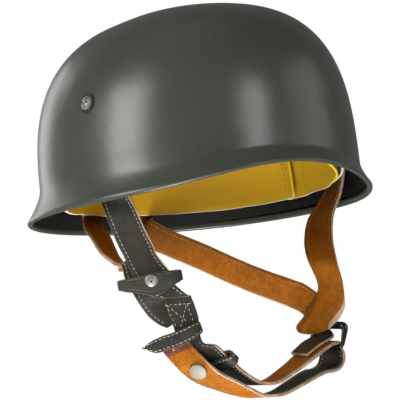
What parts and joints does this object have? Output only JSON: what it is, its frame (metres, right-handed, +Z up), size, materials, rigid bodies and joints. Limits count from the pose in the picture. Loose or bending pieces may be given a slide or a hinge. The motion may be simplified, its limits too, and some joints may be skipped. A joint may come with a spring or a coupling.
{
  "type": "paratrooper helmet",
  "caption": "Rimmed steel paratrooper helmet with a yellow leather liner and leather yoke straps that hang below it.",
  "frame": {"origin": "where the crown of the liner sits on the top of the head", "axes": "+Z up, -Y to the wearer's front, +X to the wearer's left"},
  "size_m": [0.245, 0.276, 0.2917],
  "materials": {
    "field_grey_steel": "satin field grey-green paint",
    "yellow_leather": "dyed yellow leather, smooth side in",
    "pale_band": "pale lacquered band",
    "bolt_steel": "dull grey-green steel",
    "strap_leather": "olive-black grain side, tan suede inner side, cream stitching",
    "stud_steel": "nickelled press stud",
    "white_cap": "off-white press stud cap",
    "black_steel": "glossy black wire"
  },
  "bodies": {
    "root": {"shell": "field_grey_steel", "liner_front": "yellow_leather", "liner_back": "yellow_leather", "liner_band": "pale_band", "bolt_front_right": "bolt_steel", "bolt_front_left": "bolt_steel", "bolt_rear_right": "bolt_steel", "bolt_rear_left": "bolt_steel", "strap_front_right": "strap_leather", "strap_rear_right": "strap_leather", "strap_front_left": "strap_leather", "strap_rear_left": "strap_leather", "keeper_upper": "strap_leather", "keeper_lower": "strap_leather", "keeper_small": "strap_leather", "chin_strap": "strap_leather", "stud_upper": "stud_steel", "snap_cap": "white_cap", "buckle": "black_steel", "buckle_guard": "strap_leather"}
  },
  "joints": []
}
